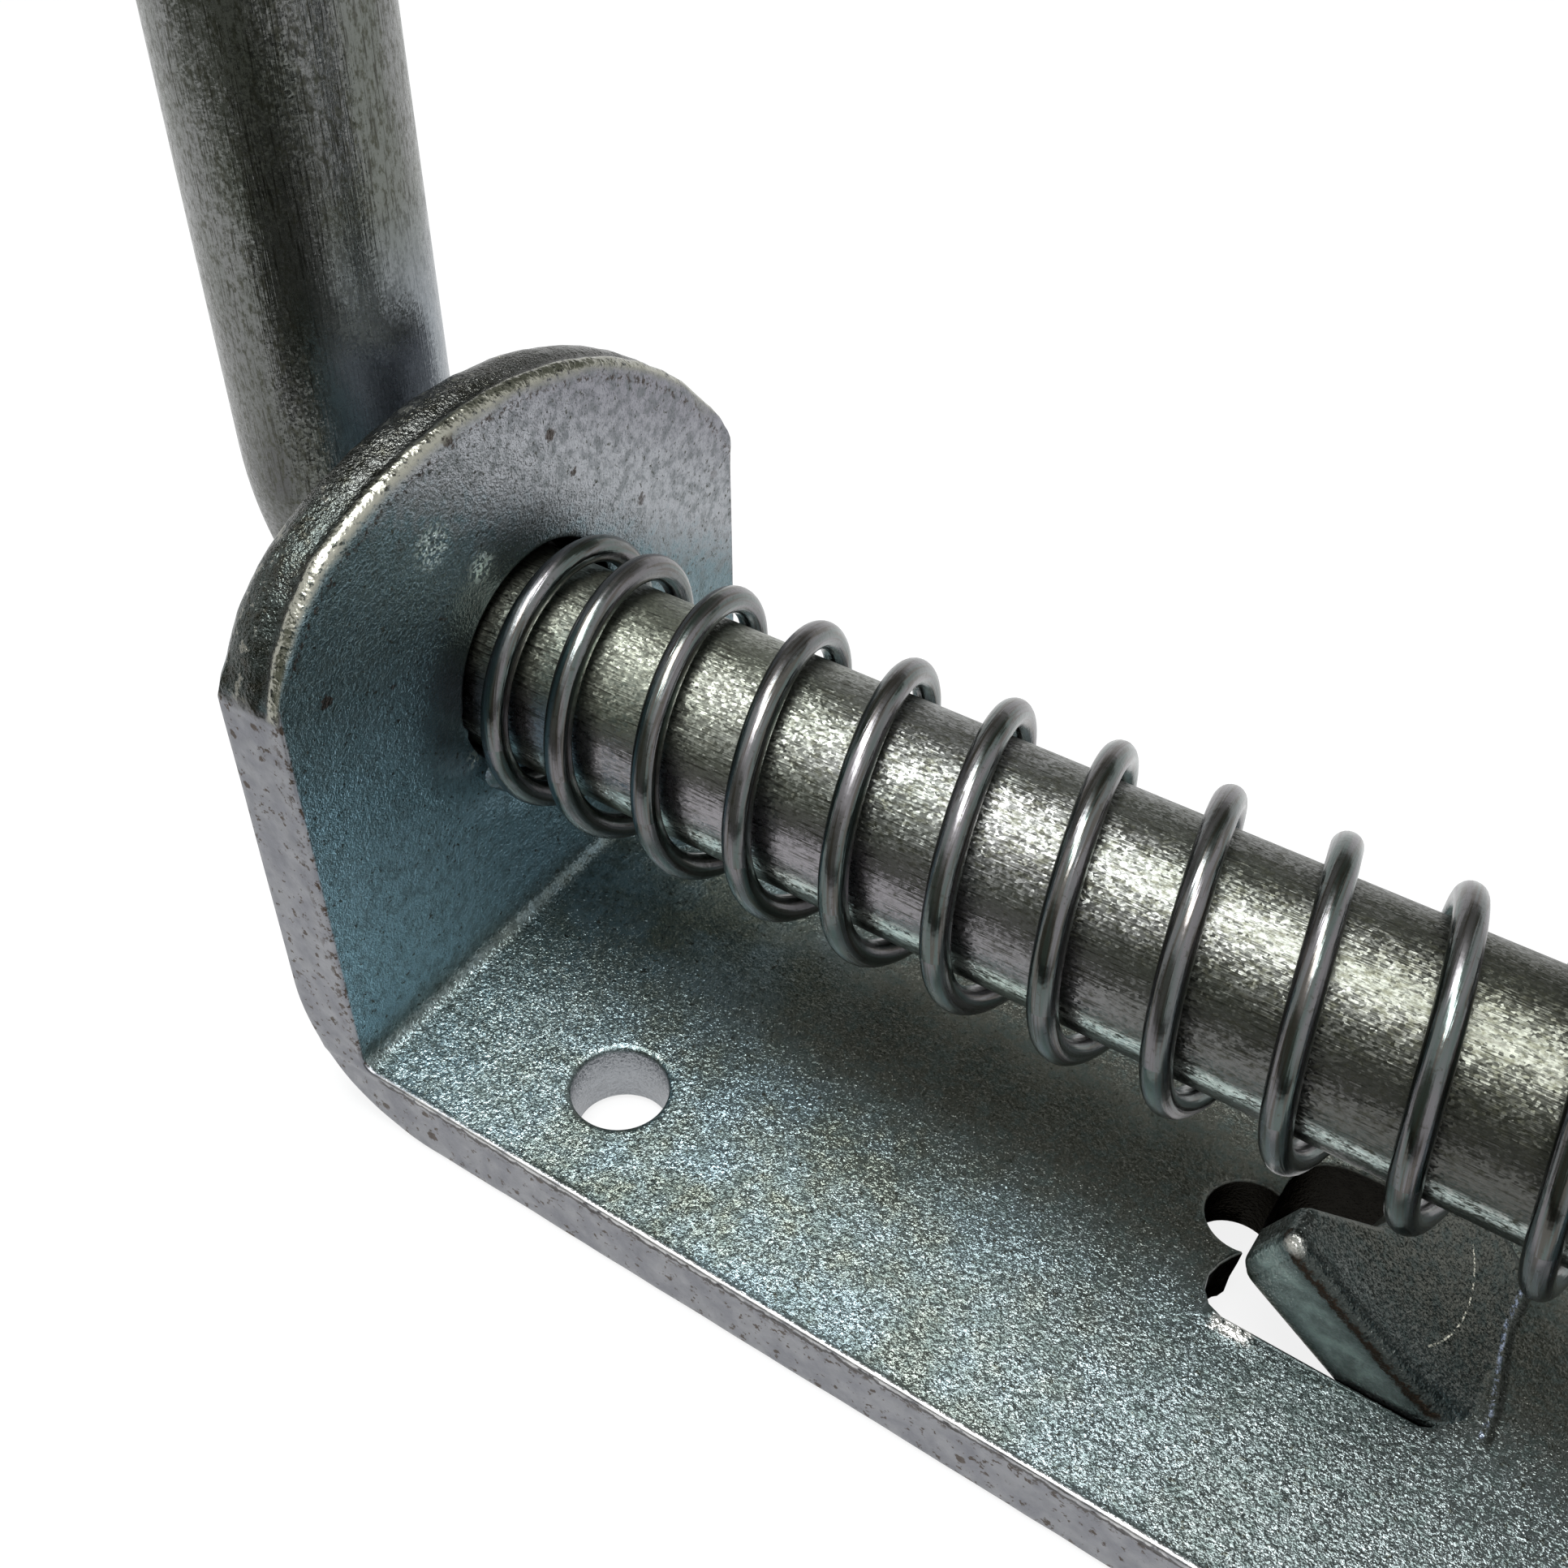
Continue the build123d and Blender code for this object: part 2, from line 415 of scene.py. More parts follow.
def screw_cutters():
    """The four screw holes, with the edges that a punch leaves."""
    hole = [(-1, screw_radius + 0.3), (0, screw_radius + 0.25), (0.4, screw_radius),
            (thickness - 0.5, screw_radius), (thickness - 0.22, screw_radius + 0.06),
            (thickness - 0.07, screw_radius + 0.2), (thickness, screw_radius + 0.5),
            (thickness + 1, screw_radius + 0.8)]
    places = [(x, y, 0) for x in (-screw_x, screw_x) for y in (-screw_y, screw_y)]
    return [make_piece("cutter", *lathe(hole, 64, place=place)) for place in places]


def tongue_end(y):
    """Length of the tongue at a place across it: a short prong at the front, then the notch."""
    from_front = y + tongue_side
    prong = 3.2
    prong_round = 1.0
    slant = 3.6
    slant_drop = 5.2
    bow_drop = 2.8
    if from_front < prong_round:
        return tongue_length - prong_round + math.sqrt(prong_round**2 - (prong_round - from_front) ** 2)
    if from_front < prong:
        return tongue_length
    if from_front < prong + slant:
        return tongue_length - slant_drop * (from_front - prong) / slant
    rest = (from_front - prong - slant) / (2 * tongue_side - prong - slant)
    return tongue_length - slant_drop - bow_drop * (1 - (1 - rest) ** 2)


def tongue_point(u, y, d):
    """A point of the tongue: u is a share of its length, or millimetres into its root."""
    end_lean = 1.5
    root_rolled = 5.0
    side = tongue_side - abs(y)
    reach = tongue_end(y) - end_lean * d / thickness
    along = u * reach if u > 0 else u
    left = reach - along
    if d < thickness / 2:
        drawn_in = 1.1 + 1.6 * max(0.0, 1 - max(along, 0.0) / root_rolled)
        left, d = rounded(left, d, 1.1)
        side, d = rounded(side, d, drawn_in)
    else:
        left, under = rounded(left, thickness - d, 1.0)
        side, under = rounded(side, under, 0.7)
        d = thickness - under
    left, side = rounded(left, side, 0.8)
    along = reach - left if u > 0 else along
    y = math.copysign(tongue_side - side, y)

    # Round the crease, then straight up the tongue, or straight on into the plate
    half_arc = crease_radius * tongue_angle / 2
    turn = min(1.0, max(0.0, (along + half_arc) / (2 * half_arc))) * tongue_angle
    setback = crease_radius * math.tan(tongue_angle / 2)
    x = crease + setback - crease_radius * math.sin(turn)
    z = thickness + crease_radius * (1 - math.cos(turn))
    if along > half_arc:
        x -= (along - half_arc) * math.cos(turn)
        z += (along - half_arc) * math.sin(turn)
    if along < -half_arc:
        x += -half_arc - along
        z -= 0.03 * (-half_arc - along)
    return x - d * math.sin(turn), y, z - d * math.cos(turn)


def make_tongue():
    """The lanced tongue, from inside the strap up to its notched end."""
    us = stations((-2.0, -0.35, 0.8), (-0.35, 0.0, 0.06))
    us += stations((0.004, 0.06, 0.004), (0.06, 0.85, 0.02), (0.85, 1.0, 0.008))
    ys = stations((-tongue_side, -5.0, 0.12), (-5.0, -1.0, 0.16), (-1.0, 5.0, 0.4), (5.0, tongue_side, 0.15))
    ds = stations((0.0, 1.8, 0.12), (1.8, 3.6, 0.6), (3.6, thickness, 0.16))
    return make_piece("tongue", *grid_shell(us, ys, ds, tongue_point))


def ear_wear(x, y, z):
    """How far a point of an ear stands out: the rolled dome, the bore's drawn rim, the dents."""
    move = 0.0
    rough_band = 4.0
    rolled_band = 1.3
    groove = 1.75
    raised_ring = 13.6
    across = abs(x) + near_ear
    edge = dome_height(y) - z
    if edge < rough_band:
        rough = min(1.0, (rough_band - edge) / 3)
        move += rough * (0.10 * lumps(x * 0.6, y, z, 2.2) + 0.06 * lumps(x, y, z, 0.9))
    if edge < rolled_band:
        move -= 0.28 * bell(across - groove, 0.55)
    reach = math.hypot(y - bore_y, z - bore_z)
    if abs(across) < 0.5 and reach > bore_radius:
        move -= 0.38 * bell(reach - bore_radius, 2.6)
        move += 0.12 * bell(reach - raised_ring, 1.3)
        for spot_y, spot_z, size in ear_dents:
            near = math.hypot(y - spot_y, z - spot_z)
            move += bell(near, size) * (0.35 * lumps(x, y, z, 1.1) - 0.12)
    return move


def plate_wear(x, y, z):
    """How far a point of the plate stands out: the sheared sides, their burr, the smear."""
    move = 0.0
    if abs(y) > half_width - 0.5 and z < thickness + 0.5:
        move += 0.04 * lumps(x, y, z, 2.6)
        from_burr = math.hypot(half_width - 0.1 - abs(y), (thickness - z) / 1.4)
        move += bell(from_burr, 0.3) * (0.10 + 0.10 * lumps(x, y, 0.0, 1.8))
    if abs(z - thickness) < 0.5:
        from_smear = math.hypot((x - slot_end - 1.6) / 1.9, (y + slot_side + 0.1) / 0.8)
        move += 0.32 * bell(from_smear, 1.0) * (1 + 0.5 * lumps(x, y, 7.0, 0.7))
    return move


def wear_strap(mesh):
    """Small real unevenness over the whole strap, and more of it where it was worked."""
    mesh.update()
    normals = [v.normal.copy() for v in mesh.vertices]
    for vertex, normal in zip(mesh.vertices, normals):
        x, y, z = vertex.co / MM
        move = 0.035 * lumps(x, y, z, 9.0) + plate_wear(x, y, z)
        if abs(x) > -near_ear - 0.3 and z > outer_bend:
            move += ear_wear(x, y, z)
        vertex.co += normal * move * MM


def make_bracket():
    """The folded strap, cut by its holes and worn, with its tongue."""
    bracket = make_piece("bracket_strap", *strap_shell())
    cut(bracket, [*bore_cutters(), *screw_cutters(), slot_cutter()])
    wear_strap(bracket.data)
    tongue = make_tongue()
    work = bmesh.new()
    work.from_mesh(bracket.data)
    work.from_mesh(tongue.data)
    work.to_mesh(bracket.data)
    work.free()
    bpy.data.objects.remove(tongue)
    finish_piece(bracket, "bracket", "bracket", 35.0)
    return bracket


def end_rings(size, shoulder):
    """A chamfer of a size with its corners broken: how deep each ring is, and how far inset."""
    return [(0.0, size + 0.25), (0.06, size + 0.06), (0.25, size - 0.18),
            (size - 0.2, shoulder), (size, 0.06), (size + 0.3, 0.0)]


def make_bolt():
    """The bar with its bent handle: rings from the handle's end, round the bend, to the tip."""
    bend_z = bar_height + handle_bend
    bend_x = handle_place + handle_bend
    chamfer = 1.2
    nose = 2.0
    spacing = 1.2
    bend_steps = 40
    down, onwards = (0, 0, -1), (1, 0, 0)
    rings = []

    def ring(x, z, direction, inset=0.0):
        """Adds a ring of the bar, with its level across the bracket."""
        rings.append((Vector((x, 0, z)), Vector(direction), Vector((0, 1, 0)), bar_radius - inset))

    for depth, inset in end_rings(chamfer, 0.22):
        ring(handle_place, bar_high.z - depth, down, inset)
    for z in between(bar_high.z - chamfer - 1, bend_z, spacing):
        ring(handle_place, z, down)
    for i in range(1, bend_steps):
        turn = math.pi / 2 * i / bend_steps
        direction = (math.sin(turn), 0, -math.cos(turn))
        ring(bend_x - handle_bend * math.cos(turn), bend_z - handle_bend * math.sin(turn), direction)
    for x in between(bend_x, bar_high.x - nose - 0.6, spacing):
        ring(x, bar_height, onwards)
    for depth, inset in reversed(end_rings(nose, 0.24)):
        ring(bar_high.x - depth, bar_height, onwards, inset)
    bolt = make_piece("bolt_bar", *tube(rings, 128))
    hole = [(-bar_radius - 1, pin_radius), (bar_radius + 1, pin_radius)]
    cut(bolt, [make_piece("cutter", *lathe(hole, 48, along_y, (pin_place, 0, bar_height)))])
    finish_piece(bolt, "bolt", "bolt", 35.0)
    return bolt


def spring_reach(turns):
    """How far along the bar the wire's centre is after a number of turns from its cut end."""
    if turns > all_turns / 2:
        return spring_high.x - spring_low.x - 2 * wire_radius - spring_reach(all_turns - turns)
    reach = 0.0
    for span, pitch in [(1, closed_pitch), (1, easing_pitch), (all_turns, active_pitch)]:
        part = min(turns, span)
        reach += part * pitch
        turns -= part
    return reach


def coil_lean(turns, angle):
    """How far the wire hangs back towards its start, as slack open coils do."""
    swing = angle - math.radians(41)
    lean = 0.36 + 0.28 * math.cos(swing) + 0.26 * math.cos(2 * swing)
    open_share = min(1.0, max(0.0, turns - 1) / 3, max(0.0, all_turns - 1 - turns) / 3)
    settled = 0.3 * bell(turns - 1.3, 0.9)
    return open_share * lean + settled


def make_spring():
    """The compression spring's wire, wound round the bar with a closer coil at each end."""
    samples = 72 * all_turns
    ease = 0.08
    spots = []
    outwards = []
    for i in range(samples + 1):
        turns = all_turns * i / samples
        nearby = [min(all_turns, max(0.0, turns + shift)) for shift in (-ease, 0.0, ease)]
        reach = sum(spring_reach(t) for t in nearby) / 3
        angle = math.radians(wire_end_angle) + 2 * math.pi * turns
        x = spring_low.x + wire_radius + reach - coil_lean(turns, angle)
        y, z = coil_radius * math.cos(angle), bar_height + coil_radius * math.sin(angle)
        spots.append(Vector((x, y, z)))
        outwards.append(Vector((0, math.cos(angle), math.sin(angle))))
    rings = []
    for i in range(samples + 1):
        ahead = spots[min(i + 1, samples)] - spots[max(i - 1, 0)]
        rings.append((spots[i], ahead.normalized(), outwards[i], wire_radius))
    return make_piece("spring_wire", *tube(rings, 24), "bracket", "spring")


def make_washer():
    """The ring between the spring and the cross pin, with its edges broken."""
    inner = bar_radius + 0.4
    outer = (washer_high.y - washer_low.y) / 2
    half = (washer_high.x - washer_low.x) / 2
    outline = mirrored([(half - 0.2, inner), (half, inner + 0.2), (half, outer - 0.3),
                        (half - 0.1, outer - 0.1), (half - 0.3, outer)])
    sides = 128
    place = Vector(((washer_low.x + washer_high.x) / 2, 0, bar_height))
    points = []
    faces = []
    for i in range(sides):
        angle = 2 * math.pi * i / sides
        points += [place + Vector((x, r * math.cos(angle), r * math.sin(angle))) for x, r in outline]
    count = len(outline)
    for i in range(sides):
        j = (i + 1) % sides
        for k in range(count):
            m = (k + 1) % count
            faces.append([i * count + k, i * count + m, j * count + m, j * count + k])
    return make_piece("spring_washer", points, faces, "pusher", "washer")


def make_pin():
    """The cross pin, with rounded ends."""
    half = (pin_high.y - pin_low.y) / 2
    profile = mirrored([(-half, pin_radius - 0.75), (0.1 - half, pin_radius - 0.45),
                        (0.3 - half, pin_radius - 0.2), (0.55 - half, pin_radius - 0.05),
                        (0.9 - half, pin_radius)])
    pin = lathe(profile, 64, along_y, (pin_place, 0, bar_height))
    return make_piece("stop_pin", *pin, "bolt", "cross_pin")


class Nodes:
    """Adds nodes to a node tree."""

    def __init__(self, tree):
        self.tree = tree

    def feed(self, socket, value):
        """Links a socket to another, or sets its value."""
        if isinstance(value, bpy.types.NodeSocket):
            self.tree.links.new(value, socket)
        elif socket.type == "RGBA":
            socket.default_value = (*value, 1)
        else:
            socket.default_value = value

    def add(self, kind, inputs=None, **settings):
        """A node with its settings made and its inputs set to values or linked to sockets."""
        node = self.tree.nodes.new(kind)
        for key, value in settings.items():
            setattr(node, key, value)
        for key, value in (inputs or {}).items():
            self.feed(node.inputs[key], value)
        return node

    def show(self, shader, output="Material Output"):
        """Makes a shader node the one that the tree shows."""
        self.feed(self.tree.nodes[output].inputs["Surface"], shader.outputs[0])

    def math(self, operation, first, second=0.0):
        """One arithmetic step on values."""
        return self.add("ShaderNodeMath", {0: first, 1: second}, operation=operation).outputs[0]

    def vector(self, operation, inputs, output="Vector"):
        """One arithmetic step on vectors."""
        return self.add("ShaderNodeVectorMath", inputs, operation=operation).outputs[output]

    def ramp(self, value, low, high, start=0.0, end=1.0):
        """Maps a value from low..high to start..end, clamped; low may be the larger of the two."""
        return self.add("ShaderNodeMapRange", {"Value": value, "From Min": low, "From Max": high,
                                               "To Min": start, "To Max": end}).outputs["Result"]

    def fade(self, share, start, end):
        """Goes from start to end as a share goes from nought to one."""
        return self.ramp(share, 0.0, 1.0, start, end)

    def plus(self, first, second):
        """The sum of two values."""
        return self.math("ADD", first, second)

    def minus(self, first, second):
        """A value less another."""
        return self.math("SUBTRACT", first, second)

    def both(self, *shares):
        """The product of several shares."""
        product = shares[0]
        for share in shares[1:]:
            product = self.math("MULTIPLY", product, share)
        return product

    def either(self, *shares):
        """The largest of several shares."""
        largest = shares[0]
        for share in shares[1:]:
            largest = self.math("MAXIMUM", largest, share)
        return largest

    def distance(self, across, along):
        """How far a point is from where two measures of it are both nought."""
        squares = self.plus(self.math("POWER", across, 2.0), self.math("POWER", along, 2.0))
        return self.math("SQRT", squares)

    def band(self, value, low, high, soft):
        """One where a value is between low and high, with soft ends."""
        return self.both(self.ramp(value, low, low + soft), self.ramp(value, high, high - soft))


class Shader(Nodes):
    """Builds one metallic material from procedural nodes, with sizes in millimetres."""

    def __init__(self, name):
        self.material = bpy.data.materials.new(name)
        self.material.use_nodes = True
        super().__init__(self.material.node_tree)
        self.metal = self.tree.nodes["Principled BSDF"]
        self.place = self.add("ShaderNodeTexCoord").outputs["Object"]
        scaled = self.vector("SCALE", {0: self.place, "Scale": 1 / MM})
        self.x, self.y, self.z = self.add("ShaderNodeSeparateXYZ", {0: scaled}).outputs[:3]

    def paint(self, share, colour):
        """Puts a colour over the shader's colour so far, by a share."""
        self.tint = self.mix(share, self.tint, colour)

    def finish(self, rough, normal):
        """The material, all metal, with its colour so far, its roughness and its normal."""
        inputs = self.metal.inputs
        inputs["Metallic"].default_value = 1.0
        self.feed(inputs["Base Color"], self.tint)
        self.feed(inputs["Roughness"], rough)
        self.feed(inputs["Normal"], normal)
        return self.material

    def spread(self, size, stretch=(1, 1, 1), place=None):
        """Places counted in features of a size, stretched along the axes."""
        counts = [1 / (size * MM * s) for s in stretch]
        return self.vector("MULTIPLY", {0: place or self.place, 1: counts})

    def noise(self, size, detail=4.0, rough=0.55, stretch=(1, 1, 1), place=None):
        """Noise with features of about a size, stretched along the axes."""
        inputs = {"Vector": self.spread(size, stretch, place), "Scale": 1.0, "Detail": detail,
                  "Roughness": rough}
        return self.add("ShaderNodeTexNoise", inputs).outputs["Fac"]

    def grains(self, size, stretch=(1, 1, 1)):
        """Outputs of grains of about a size, each with its own random colour."""
        return self.add("ShaderNodeTexVoronoi", {"Vector": self.spread(size, stretch), "Scale": 1.0}).outputs

    def spots(self, spacing, radius):
        """Scattered soft round spots: one in each grain of a spacing, of about a radius."""
        grains = self.grains(spacing)
        ragged = self.plus(grains["Distance"], self.ramp(self.noise(0.35, 1.0), 0.3, 0.7, -0.05, 0.05))
        chosen = self.add("ShaderNodeSeparateColor", {0: grains["Color"]}).outputs["Red"]
        size = self.ramp(chosen, 0.35, 1.0, 0.0, radius / spacing)
        return self.ramp(self.minus(ragged, size), 0.02, -0.03)

    def mix(self, share, first, second):
        """Mixes two colours by a share."""
        inputs = {"Factor": share, "A": first, "B": second}
        return self.add("ShaderNodeMix", inputs, data_type="RGBA").outputs["Result"]

    def bump(self, height, depth, normal=None, share=1.0):
        """A bump of a height map, with its depth and the share of it that shows."""
        inputs = {"Height": height, "Distance": depth * MM, "Strength": share}
        if normal is not None:
            inputs["Normal"] = normal
        return self.add("ShaderNodeBump", inputs).outputs["Normal"]

    def glinting(self, amount, normal, stretch=(1, 1, 1)):
        """A normal tilted by a random amount in each fine grain."""
        centred = self.vector("SUBTRACT", {0: self.grains(0.15, stretch)["Color"], 1: (0.5, 0.5, 0.5)})
        tilt = self.vector("SCALE", {0: centred, "Scale": amount})
        return self.vector("NORMALIZE", {0: self.vector("ADD", {0: normal, 1: tilt})})

    def below_rim(self):
        """How far a point of an ear is under its domed edge, measured from the dome's axis."""
        past = self.ramp(self.y, front_curve_width - half_width, -half_width)
        dropped = self.both(self.math("POWER", past, 2.2), front_corner_drop)
        above = self.plus(self.minus(self.z, dome_centre), dropped)
        return self.minus(dome_radius, self.distance(self.minus(self.y, dome_offset), above))


def strap_shader():
    """The strap's shader, with the noises, measures and shares that its colours use."""
    s = Shader("grainy strap")
    s.blotches = s.noise(1.1, 3.0, 0.7)
    s.specks = s.noise(0.45, 2.5, 0.7)
    s.aside = s.math("ABSOLUTE", s.y)
    s.outwards = s.minus(s.math("ABSOLUTE", s.x), -near_ear)
    s.above_top = s.minus(s.z, thickness)
    s.under_rim = s.below_rim()
    s.from_bore = s.distance(s.minus(s.y, bore_y), s.minus(s.z, bore_z))
    s.from_side = s.minus(half_width, s.aside)
    s.on_side = s.ramp(s.from_side, 0.30, 0.12)
    s.at_ear = s.both(s.ramp(s.above_top, 0.8, 3.0), s.ramp(s.outwards, -1.0, -0.3))
    s.on_rim = s.both(s.ramp(s.under_rim, 1.5, 0.9), s.ramp(s.outwards, 0.0, 0.35))
    s.beaded = s.both(s.ramp(s.under_rim, 1.3, 0.9), s.band(s.outwards, 0.0, 1.4, 0.3))
    in_bore = s.ramp(s.from_bore, bore_radius + 0.35, bore_radius + 0.05)
    in_slot = s.both(s.band(s.x, slot_end - 5, crease - 1.2, 0.2),
                     s.band(s.y, -slot_side - 0.4, slot_side + 0.4, 0.1),
                     s.ramp(s.above_top, -0.2, -0.45))
    s.in_hole = s.either(in_bore, in_slot)
    dents = []
    for y, z, size in ear_dents:
        away = s.distance(s.minus(s.y, y), s.minus(s.z, z))
        dents.append(s.ramp(away, size * 1.4, size * 0.5))
    s.dented = s.both(s.either(*dents), s.at_ear, s.ramp(s.outwards, 1.0, 0.5))
    return s


def plate_colour(s):
    """The plate's top: broad greenish and bluish patches, painted shade under the bar, pale by the fold."""
    patches = s.ramp(s.noise(7.0, 3.5, 0.68), 0.40, 0.58)
    tint = s.mix(patches, (0.145, 0.165, 0.14), (0.185, 0.245, 0.265))
    tint = s.mix(s.ramp(s.x, -25.0, 15.0), tint, (0.145, 0.17, 0.17))
    # Painted shade: the bar's shadow darkens the plate under it
    bar_shadow = s.both(s.band(s.y, -9.0, 14.0, 6.0), s.ramp(s.x, -42.0, -28.0))
    tint = s.mix(bar_shadow, tint, (0.11, 0.115, 0.10))
    by_fold = s.both(s.ramp(s.x, -36.0, -50.0), s.ramp(s.y, -2.0, -12.0),
                     s.ramp(s.specks, 0.40, 0.60, 0.3, 1.0))
    return s.mix(by_fold, tint, (0.33, 0.40, 0.40))


def ear_colour(s):
    """The ear's face, its tint partly painted reflection: pale above a slanting blotchy line, bluish at its
    front foot.
    """
    slanting = s.plus(s.z, s.both(s.y, 0.7))
    risen = s.plus(slanting, s.ramp(s.blotches, 0.35, 0.65, -1.8, 1.8))
    # Painted reflection: the face pales above a slanting line and stays teal below it
    tint = s.mix(s.ramp(risen, 39.0, 44.0), (0.155, 0.225, 0.25), (0.38, 0.395, 0.42))
    tint = s.mix(s.ramp(risen, 47.0, 54.0), tint, (0.26, 0.26, 0.29))
    # Painted reflection: a bright bluish patch at the ear's front foot
    foot_reflection = s.both(s.ramp(s.z, 40.0, 31.0), s.ramp(s.y, 8.0, -4.0), s.ramp(s.outwards, 1.5, 0.5))
    return s.mix(foot_reflection, tint, (0.29, 0.45, 0.54))


def paint_faces(s):
    """The strap's broad faces: clouds and specks, painted shade round the bore, dents with painted glints,
    rust and dirt.
    """
    s.tint = s.mix(s.at_ear, plate_colour(s), ear_colour(s))
    clouded = s.both(s.ramp(s.blotches, 0.46, 0.62), s.fade(s.at_ear, 0.7, 0.45))
    s.paint(clouded, (0.08, 0.105, 0.10))
    s.paint(s.ramp(s.specks, 0.60, 0.70), (0.055, 0.06, 0.05))
    # Painted shade: darker near the bore on its front side, beside the spring
    bore_shade = s.both(s.at_ear, s.ramp(s.outwards, 1.5, 0.5),
                    s.ramp(s.from_bore, bore_radius + 8, bore_radius + 2, 0.0, 0.85),
                    s.ramp(s.y, 5.0, -3.0), s.ramp(s.z, 23.0, 29.0))
    s.paint(bore_shade, (0.05, 0.065, 0.07))
    # Painted glints: pale specks on the dents
    s.paint(s.both(s.dented, s.ramp(s.noise(0.4, 1.0, 0.7), 0.49, 0.56)), (0.66, 0.78, 0.77))
    rusty = s.both(s.at_ear, s.ramp(s.z, 30.0, 38.0), s.spots(2.6, 0.55))
    dirty = s.both(s.at_ear, s.band(s.under_rim, 0.9, 1.7, 0.3), s.ramp(s.specks, 0.50, 0.58))
    s.paint(s.both(s.either(rusty, dirty), s.ramp(s.outwards, 1.0, 0.5)), (0.07, 0.06, 0.055))


def paint_sides(s):
    """The sheared sides: smooth, pitted along their upper edges, dark under a burr with a painted highlight.
    """
    broad = s.noise(2.5, 2.0)
    s.paint(s.on_side, s.mix(s.ramp(broad, 0.4, 0.6), (0.19, 0.195, 0.215), (0.25, 0.255, 0.27)))
    plate_edge = s.both(s.band(s.above_top, -1.3, -0.3, 0.5), s.ramp(s.outwards, -3.0, -4.0))
    ear_edge = s.both(s.at_ear, s.ramp(s.outwards, 1.5, 0.5))
    edge_pits = s.both(s.ramp(s.noise(0.55, 2.5, 0.7), 0.53, 0.60), s.either(plate_edge, ear_edge))
    sparse_pits = s.either(s.spots(2.2, 0.5), s.ramp(s.noise(0.7, 2.5, 0.7), 0.60, 0.66))
    s.paint(s.both(s.on_side, s.either(edge_pits, sparse_pits)), (0.06, 0.045, 0.035))

    ragged = s.plus(s.above_top, s.ramp(s.noise(0.8, 2.0, 0.6), 0.3, 0.7, -0.2, 0.2))
    in_plate = s.ramp(s.outwards, -1.4, -2.0)
    under_burr = s.both(s.on_side, in_plate, s.band(ragged, -0.72, -0.22, 0.12))
    s.paint(under_burr, (0.03, 0.026, 0.025))
    # Painted highlight: a broken bright line along the burr
    burr_highlight = s.both(s.ramp(s.from_side, 0.36, 0.20), in_plate, s.band(ragged, -0.24, 1.0, 0.08),
                     s.ramp(broad, 0.40, 0.55, 0.4, 1.0))
    s.paint(burr_highlight, (0.55, 0.55, 0.55))


def paint_holes(s):
    """Pale walls in the screw holes, and painted shade darkening the walls of the bores and the slot."""
    from_screw = s.distance(s.minus(s.math("ABSOLUTE", s.x), screw_x), s.minus(s.aside, screw_y))
    in_screw_hole = s.both(s.ramp(from_screw, screw_radius + 0.2, screw_radius + 0.05),
                           s.ramp(s.above_top, -0.2, -0.6))
    s.paint(in_screw_hole, (0.33, 0.345, 0.365))
    # Painted shade: the walls of the bores and the slot nearly black
    s.paint(s.in_hole, (0.018, 0.017, 0.015))


def paint_rims(s):
    """The ears' dark domed rims, with painted glints as pale flecks along the middle and a painted highlight
    on the bead along the inner edge.
    """
    s.paint(s.both(s.on_rim, s.ramp(s.blotches, 0.35, 0.65, 1.0, 0.75)), (0.045, 0.046, 0.037))
    # Painted glints: pale flecks where the rim's outer rounding catches the light
    flecked_glints = s.both(s.on_rim, s.band(s.outwards, 2.8, 6.2, 0.8), s.ramp(s.blotches, 0.58, 0.63))
    s.paint(flecked_glints, (0.24, 0.24, 0.21))
    # Painted highlight: a bright line along the bead at the rim's inner edge
    s.paint(s.both(s.beaded, s.ramp(s.specks, 0.64, 0.54)), (0.34, 0.34, 0.29))


def paint_tongue(s):
    """The tongue's sides from its top edge down: shaded, a rust line, torn pale metal, rolled dark."""
    tongue_top = s.both(s.minus(crease, s.x), math.tan(tongue_angle))
    s.under_top = s.both(s.minus(tongue_top, s.above_top), math.cos(tongue_angle))
    on_tongue = s.both(s.band(s.x, slot_end, crease, 0.3),
                       s.band(s.aside, tongue_side - 1.4, tongue_side + 0.1, 0.1),
                       s.ramp(s.above_top, 0.1, 0.5))
    s.paint(s.both(on_tongue, s.band(s.under_top, -0.2, 1.0, 0.3)), (0.07, 0.08, 0.075))
    ragged = s.plus(s.under_top, s.ramp(s.specks, 0.3, 0.7, -0.25, 0.25))
    s.paint(s.both(on_tongue, s.band(ragged, 0.55, 1.3, 0.2)), (0.042, 0.030, 0.022))
    torn = s.mix(s.ramp(s.noise(1.6, 3.0, 0.6), 0.40, 0.62), (0.20, 0.235, 0.225), (0.36, 0.43, 0.41))
    s.paint(s.both(on_tongue, s.band(s.under_top, 1.2, 5.0, 1.1)), torn)
    s.paint(s.both(on_tongue, s.ramp(s.under_top, 4.9, 5.5)), (0.06, 0.065, 0.05))


